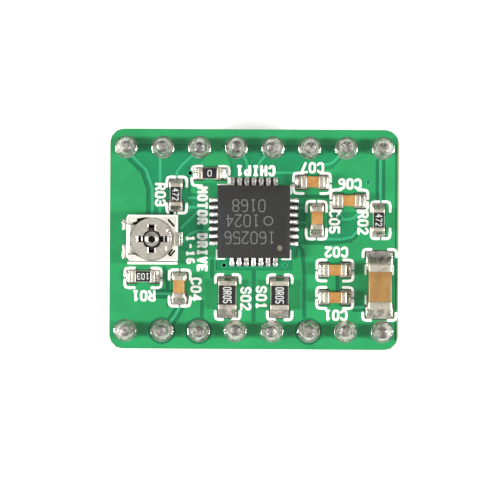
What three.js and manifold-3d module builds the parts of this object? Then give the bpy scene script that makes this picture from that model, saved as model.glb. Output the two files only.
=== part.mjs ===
// A stepper motor driver module: a small two-row carrier board that plugs into a socket on its
// sixteen header pins. It carries a leadless driver chip, a trimmer that sets the motor current,
// two current-sense resistors, four small resistors and seven ceramic capacitors.
// Millimetres, +Z up. The origin is at the centre of the board, in the plane of the pin tips.
// +X runs along the pin rows, away from the trimmer. Row A of the header lies at +Y.
import * as THREE from "three";
import { mergeVertices } from "three/addons/utils/BufferGeometryUtils.js";
import Module from "manifold-3d";

const wasm = await Module();
wasm.setup();

// ---- Driving dimensions -------------------------------------------------------------------

const FIT_GAP = 0.02; // clearance left between pieces that touch

const BOARD = { length: 20, width: 15.24, thickness: 1.6, cornerRadius: 1 };
const HEADER = { pitch: 2.54, count: 8, rowSpacing: 12.7, stripWidth: 2.5, stripHeight: 2.54 };
const STRIP_NOTCH = 0.42; // bevel at each corner between two positions of a header strip
const PIN = { side: 0.64, tipSide: 0.3, tipLength: 0.45, belowStrip: 6, aboveBoard: 1 };
const PIN_HOLE_RADIUS = 0.55;
const VIA_RADIUS = 0.14;

// Solder joint over the end of each pin: radius and height above the board, from foot to crown.
const SOLDER_PROFILE = [
  [0.77, FIT_GAP],
  [0.7, 0.08],
  [0.61, 0.25],
  [0.55, 0.5],
  [0.43, 0.9],
  [0.28, 1.09],
  [0, 1.16],
];

const CHIP_STANDOFF = 0.06; // pad and solder under a surface-mounted piece
const TERMINAL_PROUD = 0.02; // how far a chip's metal end caps stand out from its ceramic
const CHIP_SIZES = {
  smallResistor: { length: 1.6, width: 0.8, height: 0.45, endCap: 0.32 },
  senseResistor: { length: 2, width: 1.25, height: 0.55, endCap: 0.36 },
  smallCapacitor: { length: 1.6, width: 0.8, height: 0.8, endCap: 0.4 },
  bulkCapacitor: { length: 3.2, width: 1.6, height: 1.3, endCap: 0.65 },
};

const DRIVER = { side: 5, height: 0.85, standoff: 0.05, padSide: 3.1, padHeight: 0.2 };
const DIE = { side: 2.5, height: 0.28 };

// The trimmer, measured from the axis of its rotor and from its mounting plane.
const TRIMMER = {
  left: -1.85, // the side with the two end terminals
  right: 1.8, // the side with the wiper terminal
  halfWidth: 1.75,
  chamferX: 0.3, // at the two left corners
  chamferY: 0.5,
  bottom: 0.12,
  floor: 0.56, // top of the ceramic plate that carries the resistive track
  top: 1.18,
  ledgeWidth: 0.26, // low step along the front edge
  ledgeTop: 0.8,
};
const WELL = {
  radius: 1.5, // round, and squared off towards the end terminals
  left: -1.4,
  flank: 0.98, // half the width of the squared side
  shoulder: 0.62, // where the squared side runs into the round
};
const SUBSTRATE = { half: 1.55 };
const ROTOR = {
  radius: 1.44,
  bottom: 0.78,
  top: 1.26,
  slotFloor: 0.96,
  slotWidth: 0.42,
  slotReach: 0.93,
  recessRadius: 0.62,
  pointerFrom: 1.0,
  pointerTo: 1.34,
  pointerBulge: 0.05,
  pointerShoulder: 0.6, // share of the half width where the curve is fullest
  pointerHalfWidth: 0.62,
  pointerTop: 1.34,
};
const EYELET = { shankRadius: 0.3, bottom: 0.16, flangeRadius: 0.42, top: 1.18, holeRadius: 0.19 };
const EYELET_HOLE_BOTTOM = 0.5;
const TRACK = { innerRadius: 0.62, outerRadius: 1.3, thickness: 0.07, gapAngle: 100 };
const WIPER = { innerRadius: 0.75, outerRadius: 1.2, angle: 36, thickness: 0.09 };
const TERMINAL = { thickness: 0.18, footReach: 0.55, rise: 0.85, endWidth: 0.8, wiperWidth: 1 };
const END_TERMINAL_OFFSET = 0.92;

const OVERRUN = 1; // how far a cutter runs past the face that it opens
const SINK = 0.1; // how far a joined solid runs into the one it stands on
const ROUND_SEGMENTS = 20;
const FINE_SEGMENTS = 40;
const SOLDER_SEGMENTS = 16;
const COARSE_SEGMENTS = 8;

// ---- Where things are on the board --------------------------------------------------------

const DRIVER_AT = [-0.03, 1.21];
const TRIMMER_AT = [-7.05, -0.03];

// Each chip's centre, and whether it lies along Y.
const CHIPS = [
  { name: "resistor_r1", size: "smallResistor", at: [-7.65, -2.61], alongY: false },
  { name: "resistor_r2", size: "smallResistor", at: [8.6, 1.38], alongY: true },
  { name: "resistor_r3", size: "smallResistor", at: [-5.44, 3.07], alongY: true },
  { name: "zero_ohm_link", size: "smallResistor", at: [-3.1, 4.54], alongY: false },
  { name: "sense_resistor_s1", size: "senseResistor", at: [1.78, -3.86], alongY: true },
  { name: "sense_resistor_s2", size: "senseResistor", at: [-1.83, -3.86], alongY: true },
  { name: "capacitor_c1", size: "smallCapacitor", at: [5.6, -3.98], alongY: false },
  { name: "capacitor_c2", size: "smallCapacitor", at: [5.58, -2.09], alongY: false },
  { name: "bulk_capacitor_c3", size: "bulkCapacitor", at: [8.68, -3.22], alongY: true },
  { name: "capacitor_c4", size: "smallCapacitor", at: [-5.17, -3.3], alongY: true },
  { name: "capacitor_c5", size: "smallCapacitor", at: [4.33, 1.5], alongY: true },
  { name: "capacitor_c6", size: "smallCapacitor", at: [6.53, 2.7], alongY: false },
  { name: "capacitor_c7", size: "smallCapacitor", at: [4.02, 3.98], alongY: false },
];

// Vias that are open through the board.
const VIAS = [
  [2.13, -1.78],
  [-2.08, -1.8],
  [5.92, 1.55],
  [7.88, 4.02],
  [-4.45, 4.56],
  [-5.72, 1.8],
];

// ---- Levels -------------------------------------------------------------------------------

const stripBottom = PIN.belowStrip;
const boardBottom = stripBottom + HEADER.stripHeight;
const boardTop = boardBottom + BOARD.thickness;
const pinTop = boardTop + PIN.aboveBoard;
const ROW_SIDE = { a: 1, b: -1 }; // which side of the board each header row is on
const pinX = (index) => (index - (HEADER.count - 1) / 2) * HEADER.pitch;
const rowY = (row) => (ROW_SIDE[row] * HEADER.rowSpacing) / 2;

// ---- Materials ----------------------------------------------------------------------------

const material = (color, roughness, metalness) =>
  new THREE.MeshStandardMaterial({ color, roughness, metalness });

const MATERIALS = {
  board: material(0x2fa864, 0.35, 0),
  strip: material(0x17181a, 0.55, 0),
  pin: material(0xd9b45f, 0.3, 1),
  solder: material(0xb9b3b0, 0.25, 1),
  mould: material(0x3c3a39, 0.7, 0),
  copper: material(0xb87452, 0.35, 1),
  silicon: material(0x6d7078, 0.2, 0.4),
  resistor: material(0x23211f, 0.4, 0),
  capacitor: material(0xd29a58, 0.5, 0),
  housing: material(0xe9e4da, 0.45, 0),
  rotor: material(0xaaa39b, 0.35, 1),
  track: material(0x2b211c, 0.6, 0),
  alumina: material(0xf2efe8, 0.5, 0),
};

// ---- Solids -------------------------------------------------------------------------------

// A closed three.js geometry as a manifold-3d solid.
function solidOf(geometry) {
  const bare = geometry.index ? geometry.toNonIndexed() : geometry.clone();
  bare.deleteAttribute("normal");
  bare.deleteAttribute("uv");
  const merged = mergeVertices(bare, 1e-5);
  const mesh = new wasm.Mesh({
    numProp: 3,
    vertProperties: new Float32Array(merged.attributes.position.array),
    triVerts: new Uint32Array(merged.index.array),
  });
  return new wasm.Manifold(mesh);
}

// A manifold-3d solid as a three.js geometry.
function geometryOf(solid) {
  const mesh = solid.getMesh();
  const geometry = new THREE.BufferGeometry();
  geometry.setAttribute("position", new THREE.BufferAttribute(mesh.vertProperties, 3));
  geometry.setIndex(new THREE.BufferAttribute(mesh.triVerts, 1));
  geometry.computeVertexNormals();
  return geometry;
}

const join = (...geometries) =>
  geometryOf(geometries.map(solidOf).reduce((whole, next) => whole.add(next)));

const cut = (geometry, ...tools) =>
  geometryOf(tools.map(solidOf).reduce((whole, tool) => whole.subtract(tool), solidOf(geometry)));

// A box from its lowest to its highest corner.
function block([x0, y0, z0], [x1, y1, z1]) {
  return new THREE.BoxGeometry(x1 - x0, y1 - y0, z1 - z0).translate(
    (x0 + x1) / 2,
    (y0 + y1) / 2,
    (z0 + z1) / 2,
  );
}

// A flat outline raised from one level to another.
function prism(shape, bottom, top, segments = ROUND_SEGMENTS) {
  const depth = top - bottom;
  return new THREE.ExtrudeGeometry(shape, {
    depth,
    bevelEnabled: false,
    curveSegments: segments,
  }).translate(0, 0, bottom);
}

// A body of revolution about Z. Its profile is a list of [radius, height] from the bottom up.
function turned(profile, segments = ROUND_SEGMENTS, start = 0) {
  const points = profile.map(([radius, height]) => new THREE.Vector2(radius, height));
  const lathe = new THREE.LatheGeometry(points, segments, start).rotateX(Math.PI / 2);
  return geometryOf(solidOf(lathe));
}

function cylinder(radius, bottom, top, segments = ROUND_SEGMENTS) {
  return turned([[0, bottom], [radius, bottom], [radius, top], [0, top]], segments);
}

function polygon(points) {
  return new THREE.Shape(points.map(([x, y]) => new THREE.Vector2(x, y)));
}

function circlePath(x, y, radius) {
  return new THREE.Path().absarc(x, y, radius, 0, 2 * Math.PI, true);
}

// The part of a ring between two angles in degrees.
function arcBand(inner, outer, from, to) {
  const [a, b] = [from, to].map(THREE.MathUtils.degToRad);
  const shape = new THREE.Shape();
  shape.absarc(0, 0, outer, a, b, false);
  shape.absarc(0, 0, inner, b, a, true);
  return shape;
}

// ---- Board and header ---------------------------------------------------------------------

function boardOutline() {
  const [x, y, r] = [BOARD.length / 2, BOARD.width / 2, BOARD.cornerRadius];
  const shape = new THREE.Shape();
  shape.moveTo(-x + r, -y);
  shape.absarc(x - r, -y + r, r, -Math.PI / 2, 0, false);
  shape.absarc(x - r, y - r, r, 0, Math.PI / 2, false);
  shape.absarc(-x + r, y - r, r, Math.PI / 2, Math.PI, false);
  shape.absarc(-x + r, -y + r, r, Math.PI, (3 * Math.PI) / 2, false);
  return shape;
}

function boardGeometry() {
  const shape = boardOutline();
  for (const row of ["a", "b"])
    for (let i = 0; i < HEADER.count; i++)
      shape.holes.push(circlePath(pinX(i), rowY(row), PIN_HOLE_RADIUS));
  for (const [x, y] of VIAS) shape.holes.push(circlePath(x, y, VIA_RADIUS));
  return prism(shape, boardBottom, boardTop, COARSE_SEGMENTS);
}

// A header pin, or with a clearance, the slightly larger cutter that makes room for one.
function pinGeometry(clearance = 0) {
  const corner = Math.SQRT1_2; // half of a square's side becomes its half diagonal, times the side
  const [wide, narrow] = [PIN.side, PIN.tipSide].map((side) => (side + 2 * clearance) * corner);
  return turned(
    [
      [0, 0],
      [narrow, 0],
      [wide, PIN.tipLength],
      [wide, pinTop - PIN.tipLength],
      [narrow, pinTop + clearance],
      [0, pinTop + clearance],
    ],
    4,
    Math.PI / 4,
  );
}

// A cone of solder with hollow flanks on top of the board, which runs down the hole around the pin.
function solderGeometry() {
  const barrel = PIN_HOLE_RADIUS - FIT_GAP;
  const cone = SOLDER_PROFILE.map(([radius, height]) => [radius, boardTop + height]);
  const joint = [[0, boardBottom], [barrel, boardBottom], [barrel, boardTop + FIT_GAP], ...cone];
  return cut(turned(joint, SOLDER_SEGMENTS), pinGeometry(FIT_GAP));
}

// A strip's outline is a row of squares with bevelled corners, joined edge to edge and cut flush
// with the ends of the board.
function stripGeometry() {
  const half = HEADER.stripWidth / 2;
  const end = BOARD.length / 2;
  const edge = [];
  for (let i = 0; i < HEADER.count; i++) {
    const left = Math.max(pinX(i) - HEADER.pitch / 2, -end);
    const right = Math.min(pinX(i) + HEADER.pitch / 2, end);
    if (i === 0) edge.push([left, half - STRIP_NOTCH]);
    edge.push([left + STRIP_NOTCH, half], [right - STRIP_NOTCH, half], [right, half - STRIP_NOTCH]);
  }
  const front = edge.map(([x, y]) => [x, -y]);
  const outline = polygon([...front, ...edge.reverse()]);
  const grip = PIN.side / 2 + FIT_GAP;
  const bores = Array.from({ length: HEADER.count }, (_, i) =>
    block(
      [pinX(i) - grip, -grip, stripBottom - OVERRUN],
      [pinX(i) + grip, grip, boardBottom + OVERRUN],
    ),
  );
  return cut(prism(outline, stripBottom, boardBottom - FIT_GAP), ...bores);
}

// ---- Chips --------------------------------------------------------------------------------

// A ceramic block with a slightly larger metal cap at each end, lying along X.
function chipGeometry({ length, width, height, endCap }) {
  const [x, y] = [length / 2, width / 2];
  const [low, high] = [CHIP_STANDOFF, CHIP_STANDOFF + height];
  const inner = x - endCap;
  const slack = TERMINAL_PROUD;
  return join(
    block([-inner - slack, -y + slack, low + slack], [inner + slack, y - slack, high - slack]),
    block([-x, -y, low], [-inner, y, high]),
    block([inner, -y, low], [x, y, high]),
  );
}

function driverBodyGeometry() {
  const s = DRIVER.side / 2;
  const low = DRIVER.standoff;
  const pad = DRIVER.padSide / 2 + FIT_GAP;
  const die = DIE.side / 2 + FIT_GAP;
  const dieBottom = low + DRIVER.padHeight;
  return cut(
    block([-s, -s, low], [s, s, low + DRIVER.height]),
    block([-pad, -pad, low - OVERRUN], [pad, pad, dieBottom + FIT_GAP]),
    block([-die, -die, dieBottom], [die, die, dieBottom + DIE.height + 2 * FIT_GAP]),
  );
}

function thermalPadGeometry() {
  const p = DRIVER.padSide / 2;
  return block([-p, -p, DRIVER.standoff], [p, p, DRIVER.standoff + DRIVER.padHeight]);
}

function dieGeometry() {
  const d = DIE.side / 2;
  const low = DRIVER.standoff + DRIVER.padHeight + FIT_GAP;
  return block([-d, -d, low], [d, d, low + DIE.height]);
}

// ---- Trimmer ------------------------------------------------------------------------------

// An open frame. A pocket under it takes the ceramic plate, and the rotor turns in its well.
function trimmerHousingGeometry() {
  const t = TRIMMER;
  const outline = polygon([
    [t.left, -t.halfWidth + t.chamferY],
    [t.left + t.chamferX, -t.halfWidth],
    [t.right, -t.halfWidth],
    [t.right, t.halfWidth],
    [t.left + t.chamferX, t.halfWidth],
    [t.left, t.halfWidth - t.chamferY],
  ]);
  const shoulderY = Math.sqrt(WELL.radius ** 2 - WELL.shoulder ** 2) - FIT_GAP;
  const squared = polygon([
    [WELL.left, -WELL.flank],
    [-WELL.shoulder, -shoulderY],
    [-WELL.shoulder, shoulderY],
    [WELL.left, WELL.flank],
  ]);
  const roof = t.top + OVERRUN;
  const pocket = SUBSTRATE.half + FIT_GAP;
  return cut(
    prism(outline, t.bottom, t.top),
    block([-pocket, -pocket, t.bottom - OVERRUN], [pocket, pocket, t.floor + FIT_GAP]),
    cylinder(WELL.radius, t.floor, roof, FINE_SEGMENTS),
    prism(squared, t.floor, roof),
    block(
      [t.left - OVERRUN, -t.halfWidth - OVERRUN, t.ledgeTop],
      [t.right + OVERRUN, -t.halfWidth + t.ledgeWidth, roof],
    ),
  );
}

function substrateGeometry() {
  const { bottom, floor } = TRIMMER;
  const s = SUBSTRATE.half;
  return cut(block([-s, -s, bottom], [s, s, floor]), eyeletBore(bottom, floor));
}

// The hole that the eyelet's shank passes through, from below one level to above another.
function eyeletBore(low, high) {
  return cylinder(EYELET.shankRadius + FIT_GAP, low - OVERRUN, high + OVERRUN);
}

function rotorGeometry() {
  const r = ROTOR;
  const half = r.slotWidth / 2;
  const above = r.pointerTop + OVERRUN;
  return cut(
    join(
      cylinder(r.radius, r.bottom, r.top, FINE_SEGMENTS),
      prism(pointerShape(), r.top - SINK, r.pointerTop),
    ),
    cylinder(r.recessRadius, r.slotFloor, above),
    block([-r.slotReach, -half, r.slotFloor], [r.slotReach, half, above]),
    block([-half, -r.slotReach, r.slotFloor], [half, r.slotReach, above]),
    eyeletBore(r.bottom, r.top),
  );
}

// A raised half-round mark that shows which way the rotor points.
function pointerShape() {
  const { pointerFrom: from, pointerTo: to, pointerHalfWidth: half, pointerBulge: bulge } = ROTOR;
  const shoulder = half * ROTOR.pointerShoulder;
  const shape = new THREE.Shape();
  shape.moveTo(from, -half);
  shape.quadraticCurveTo(to + bulge, -shoulder, to, 0);
  shape.quadraticCurveTo(to + bulge, shoulder, from, half);
  return shape;
}

// A rivet with a hollow head. It holds the rotor down and leaves it free to turn.
function eyeletGeometry() {
  const { shankRadius, bottom, flangeRadius, top, holeRadius } = EYELET;
  const flangeBottom = ROTOR.slotFloor + FIT_GAP;
  return turned([
    [0, bottom],
    [shankRadius, bottom],
    [shankRadius, flangeBottom],
    [flangeRadius, flangeBottom],
    [flangeRadius, top],
    [holeRadius, top],
    [holeRadius, EYELET_HOLE_BOTTOM],
    [0, EYELET_HOLE_BOTTOM],
  ]);
}

function trackGeometry() {
  const gap = TRACK.gapAngle / 2;
  const band = arcBand(TRACK.innerRadius, TRACK.outerRadius, -180 + gap, 180 - gap);
  const low = TRIMMER.floor + FIT_GAP;
  return prism(band, low, low + TRACK.thickness);
}

function wiperGeometry() {
  const band = arcBand(WIPER.innerRadius, WIPER.outerRadius, -WIPER.angle / 2, WIPER.angle / 2);
  const high = ROTOR.bottom - FIT_GAP;
  return prism(band, high - WIPER.thickness, high, COARSE_SEGMENTS);
}

// An L of sheet metal that rises beside the housing and turns under it. It faces +X.
function terminalGeometry(width) {
  const { thickness, footReach, rise } = TERMINAL;
  const foot = TRIMMER.bottom - FIT_GAP;
  const profile = polygon([
    [-footReach, 0],
    [FIT_GAP + thickness, 0],
    [FIT_GAP + thickness, rise],
    [FIT_GAP, rise],
    [FIT_GAP, foot],
    [-footReach, foot],
  ]);
  return prism(profile, -width / 2, width / 2).rotateX(Math.PI / 2);
}

// ---- Assembly -----------------------------------------------------------------------------

const module = new THREE.Group();

function place(parent, name, geometry, finish, [x, y, z] = [0, 0, 0], turn = 0) {
  const mesh = new THREE.Mesh(geometry, MATERIALS[finish]);
  mesh.name = name;
  mesh.position.set(x, y, z);
  mesh.rotation.z = turn;
  parent.add(mesh);
}

function addHeader() {
  const [pin, solder, strip] = [pinGeometry(), solderGeometry(), stripGeometry()];
  for (const row of ["a", "b"]) {
    place(module, `header_strip_${row}`, strip, "strip", [0, rowY(row), 0]);
    for (let i = 0; i < HEADER.count; i++) {
      const at = [pinX(i), rowY(row), 0];
      place(module, `header_pin_${row}${i + 1}`, pin, "pin", at);
      place(module, `solder_joint_${row}${i + 1}`, solder, "solder", at);
    }
  }
}

function addChips() {
  for (const { name, size, at, alongY } of CHIPS) {
    const finish = size.endsWith("Resistor") ? "resistor" : "capacitor";
    const turn = alongY ? Math.PI / 2 : 0;
    place(module, name, chipGeometry(CHIP_SIZES[size]), finish, [...at, boardTop], turn);
  }
}

function addDriver() {
  const driver = new THREE.Group();
  driver.position.set(...DRIVER_AT, boardTop);
  place(driver, "driver_body", driverBodyGeometry(), "mould");
  place(driver, "driver_thermal_pad", thermalPadGeometry(), "copper");
  place(driver, "driver_die", dieGeometry(), "silicon");
  module.add(driver);
}

function addTrimmer() {
  const trimmer = new THREE.Group();
  trimmer.position.set(...TRIMMER_AT, boardTop + CHIP_STANDOFF);
  place(trimmer, "trimmer_housing", trimmerHousingGeometry(), "housing");
  place(trimmer, "trimmer_substrate", substrateGeometry(), "alumina");
  place(trimmer, "trimmer_eyelet", eyeletGeometry(), "solder");
  place(trimmer, "trimmer_rotor", rotorGeometry(), "rotor");
  place(trimmer, "trimmer_wiper", wiperGeometry(), "rotor");
  place(trimmer, "trimmer_resistive_track", trackGeometry(), "track");
  const end = terminalGeometry(TERMINAL.endWidth);
  const wiper = terminalGeometry(TERMINAL.wiperWidth);
  const { left, right } = TRIMMER;
  place(trimmer, "trimmer_end_terminal_1", end, "solder", [left, END_TERMINAL_OFFSET, 0], Math.PI);
  place(trimmer, "trimmer_end_terminal_2", end, "solder", [left, -END_TERMINAL_OFFSET, 0], Math.PI);
  place(trimmer, "trimmer_wiper_terminal", wiper, "solder", [right, 0, 0]);
  module.add(trimmer);
}

place(module, "circuit_board", boardGeometry(), "board");
addHeader();
addChips();
addDriver();
addTrimmer();

export default module;
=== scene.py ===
import math

import bmesh
import bpy
from mathutils import Matrix, Vector, noise
from mathutils.geometry import delaunay_2d_cdt


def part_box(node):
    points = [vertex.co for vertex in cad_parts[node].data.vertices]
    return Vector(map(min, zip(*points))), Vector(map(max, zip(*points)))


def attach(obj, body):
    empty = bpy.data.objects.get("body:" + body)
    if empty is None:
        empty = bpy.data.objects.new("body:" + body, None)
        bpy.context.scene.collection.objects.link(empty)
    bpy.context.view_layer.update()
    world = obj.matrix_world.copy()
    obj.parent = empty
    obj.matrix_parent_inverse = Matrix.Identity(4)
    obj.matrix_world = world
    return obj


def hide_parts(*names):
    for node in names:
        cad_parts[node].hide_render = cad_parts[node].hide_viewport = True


# The stepper driver module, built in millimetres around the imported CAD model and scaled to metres
# as each piece is made. Z is up, and the top of the board is where the CAD board's top is.

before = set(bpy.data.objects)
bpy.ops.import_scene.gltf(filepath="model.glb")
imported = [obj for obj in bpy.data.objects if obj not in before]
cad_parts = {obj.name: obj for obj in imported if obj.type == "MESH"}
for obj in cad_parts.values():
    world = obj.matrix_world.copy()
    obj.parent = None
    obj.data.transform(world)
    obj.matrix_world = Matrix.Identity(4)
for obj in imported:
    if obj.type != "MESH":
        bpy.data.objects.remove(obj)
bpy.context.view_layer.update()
MM = 0.001


def cad_box(node):
    """A CAD node's lowest and highest corner, in millimetres."""
    low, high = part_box(node)
    return low / MM, high / MM


def cad_middle(node):
    low, high = cad_box(node)
    return (low + high) / 2


BOARD_LOW, BOARD_HIGH = cad_box("circuit_board")
BOARD_TOP = BOARD_HIGH.z
BOARD_BOTTOM = BOARD_LOW.z
HALF_LENGTH = BOARD_HIGH.x
HALF_WIDTH = BOARD_HIGH.y
CORNER_RADIUS = 1.0
PITCH = (cad_middle("header_pin_a2") - cad_middle("header_pin_a1")).x

COPPER_RELIEF = 0.035  # how far the mask stands up where copper runs under it
MASK_SLOPE = 0.035  # width of the slope at the edge of the copper
EDGE_SHOWN = 0.09  # laminate that the mask leaves bare along one end of the board
INK_RELIEF = 0.02


# ---- Finishes ----


def set_stops(ramp, stops):
    """Gives a colour ramp a list of (position, colour)."""
    while len(ramp.elements) < len(stops):
        ramp.elements.new(0.5)
    for element, (position, color) in zip(ramp.elements, stops):
        element.position = position
        element.color = (*color, 1)


def add_node(tree, kind, inputs=(), **settings):
    """Adds a node, and gives its inputs links or values."""
    made = tree.nodes.new(kind)
    for key, value in settings.items():
        setattr(made, key, value)
    for key, value in dict(inputs).items():
        if isinstance(value, bpy.types.NodeSocket):
            tree.links.new(value, made.inputs[key])
        else:
            made.inputs[key].default_value = value
    return made


class Finish:
    """A material whose colour, roughness and fine relief come from procedural nodes."""

    def __init__(self, name, color, roughness, metallic=0.0, **more):
        self.material = bpy.data.materials.new(name)
        self.material.use_nodes = True
        self.tree = self.material.node_tree
        self.shader = self.tree.nodes["Principled BSDF"]
        sockets = {"Base Color": (*color, 1), "Roughness": roughness, "Metallic": metallic, **more}
        for socket, value in sockets.items():
            self.shader.inputs[socket.replace("_", " ")].default_value = value
        self.position = self.node("ShaderNodeTexCoord").outputs["Object"]
        self.normal = None

    def node(self, kind, inputs=(), **settings):
        return add_node(self.tree, kind, inputs, **settings)

    def noise(self, size, detail=3, stretch=(1, 1, 1), distortion=0.0):
        """Soft noise whose features are about size millimetres across."""
        place = self.node("ShaderNodeMapping", {"Vector": self.position, "Scale": stretch}).outputs[0]
        inputs = {"Vector": place, "Scale": 1 / (size * MM), "Detail": detail, "Distortion": distortion}
        return self.node("ShaderNodeTexNoise", inputs).outputs[0]

    def cells(self, size):
        inputs = {"Vector": self.position, "Scale": 1 / (size * MM)}
        return self.node("ShaderNodeTexVoronoi", inputs).outputs["Distance"]

    def bands(self, size, axis, distortion):
        """Waves size millimetres long that follow each other along an axis."""
        scale = math.pi / 10 / (size * MM)
        inputs = {"Vector": self.position, "Scale": scale, "Distortion": distortion}
        return self.node("ShaderNodeTexWave", inputs, bands_direction=axis).outputs["Fac"]

    def between(self, factor, start, end, low, high):
        """low where the factor is below start, high above end, blended between."""
        inputs = {"Value": factor, "From Min": start, "From Max": end, "To Min": low, "To Max": high}
        return self.node("ShaderNodeMapRange", inputs).outputs[0]

    def colours(self, factor, stops):
        """A colour ramp from a list of (position, colour)."""
        made = self.node("ShaderNodeValToRGB", {"Fac": factor})
        set_stops(made.color_ramp, stops)
        return made.outputs[0]

    def mix(self, factor, tone, color):
        """A tone that turns into a colour as the factor rises."""
        inputs = {0: factor, 6: tone, 7: (*color, 1)}  # the sockets that the node uses for colours
        return self.node("ShaderNodeMix", inputs, data_type="RGBA").outputs[2]

    def join(self, a, b, operation="ADD"):
        return self.node("ShaderNodeMath", {0: a, 1: b}, operation=operation).outputs[0]

    def set(self, socket, value):
        self.tree.links.new(value, self.shader.inputs[socket])
        return self

    def bump(self, height, depth):
        """Adds relief of depth millimetres."""
        inputs = {"Height": height, "Distance": depth * MM, "Strength": 1.0}
        if self.normal is not None:
            inputs["Normal"] = self.normal
        self.normal = self.node("ShaderNodeBump", inputs).outputs[0]
        return self.set("Normal", self.normal)


def shade(color, factor):
    return tuple(min(1.0, channel * factor) for channel in color)


def mask_finish(name, color, weave=0.0):
    """Green solder mask: a thin glossy lacquer, thicker in places, over what lies under it."""
    finish = Finish(name, color, 0.3, Coat_Weight=0.12, Coat_Roughness=0.15, Specular_IOR_Level=0.4)
    cloud = finish.noise(2.2, detail=4, distortion=0.4)
    fine = finish.noise(0.09, detail=3)
    broad = finish.colours(cloud, [(0.3, shade(color, 0.86)), (0.7, shade(color, 1.12))])
    speck = finish.between(fine, 0.3, 0.7, 0.0, 0.35)
    finish.set("Base Color", finish.mix(speck, broad, shade(color, 0.8)))
    finish.set("Roughness", finish.between(fine, 0.3, 0.7, 0.26, 0.42))
    if weave:
        cloth = finish.join(finish.bands(0.45, "X", 2), finish.bands(0.45, "Y", 2))
        finish.bump(cloth, weave)
    finish.bump(finish.noise(0.35, detail=2), 0.004)
    return finish.bump(fine, 0.0012)


def metal_finish(name, color, roughness, tarnish, grain=0.12, relief=0.004, stretch=(1, 1, 1)):
    """Bare metal: brighter and duller patches, fine grain and a little tarnish."""
    finish = Finish(name, color, roughness, 1.0)
    patch = finish.noise(0.45, detail=4, distortion=0.6)
    fine = finish.noise(grain, detail=4, stretch=stretch)
    tone = finish.colours(patch, [(0.32, tarnish), (0.58, color)])
    finish.set("Base Color", finish.mix(finish.between(fine, 0.3, 0.7, 0, 0.3), tone, tarnish))
    finish.set("Roughness", finish.between(fine, 0.3, 0.7, roughness * 0.6, roughness * 1.5))
    return finish.bump(fine, relief)


def ceramic_finish(name, color, dark, light, roughness):
    """Fired ceramic or moulded plastic: speckled grain with slow changes of tone."""
    finish = Finish(name, color, roughness)
    cloud = finish.noise(0.9, detail=3)
    grains = finish.noise(0.05, detail=4)
    tone = finish.colours(cloud, [(0.3, dark), (0.5, color), (0.72, light)])
    finish.set("Base Color", finish.mix(finish.between(grains, 0.35, 0.7, 0, 0.35), tone, dark))
    finish.set("Roughness", finish.between(grains, 0.3, 0.7, roughness * 0.8, roughness * 1.2))
    return finish.bump(finish.noise(0.3, detail=2), 0.002).bump(grains, 0.0012)


def laminate_finish():
    """Sawn edge of glass-fibre board: pressed layers, cut fibre ends and resin between them."""
    resin = (0.31, 0.31, 0.13)
    finish = Finish("glass_fibre_laminate", resin, 0.6)
    layers = finish.bands(0.11, "Z", 1.5)
    ends = finish.noise(0.05, detail=4, stretch=(1, 1, 5))
    cloud = finish.noise(0.8, detail=3)
    tone = finish.colours(layers, [(0.2, shade(resin, 0.78)), (0.8, shade(resin, 1.2))])
    tone = finish.mix(finish.between(cloud, 0.3, 0.7, 0, 0.4), tone, (0.24, 0.33, 0.11))
    tone = finish.mix(finish.between(ends, 0.4, 0.7, 0, 0.5), tone, (0.50, 0.49, 0.29))
    finish.set("Base Color", tone)
    finish.bump(layers, 0.006)
    return finish.bump(ends, 0.008)


def mould_finish():
    """Chip mould compound: dark grey, matte, with glassy filler specks."""
    base = (0.016, 0.0155, 0.0148)
    finish = Finish("chip_mould_compound", base, 0.6, Specular_IOR_Level=0.45)
    fine = finish.noise(0.035, detail=3)
    specks = finish.cells(0.09)
    cloud = finish.noise(1.2, detail=3)
    tone = finish.colours(fine, [(0.3, shade(base, 0.5)), (0.55, base), (0.75, shade(base, 2))])
    glint = finish.between(specks, 0.0, 0.16, 0.55, 0.0)
    finish.set("Base Color", finish.mix(glint, tone, (0.08, 0.078, 0.072)))
    finish.set("Roughness", finish.between(cloud, 0.3, 0.7, 0.5, 0.7))
    finish.bump(fine, 0.005)
    return finish.bump(finish.noise(0.012, detail=2), 0.002)


def ink_finish(name, color, roughness=0.55):
    """Printed or laser-marked lettering: slightly uneven cover and a broken surface."""
    finish = Finish(name, color, roughness)
    cover = finish.noise(0.16, detail=4)
    grain = finish.noise(0.04, detail=3)
    tone = finish.colours(cover, [(0.28, shade(color, 0.8)), (0.5, color)])
    broken = finish.between(grain, 0.4, 0.75, 0, 0.3)
    finish.set("Base Color", finish.mix(broken, tone, shade(color, 0.72)))
    return finish.bump(grain, 0.004)


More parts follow.
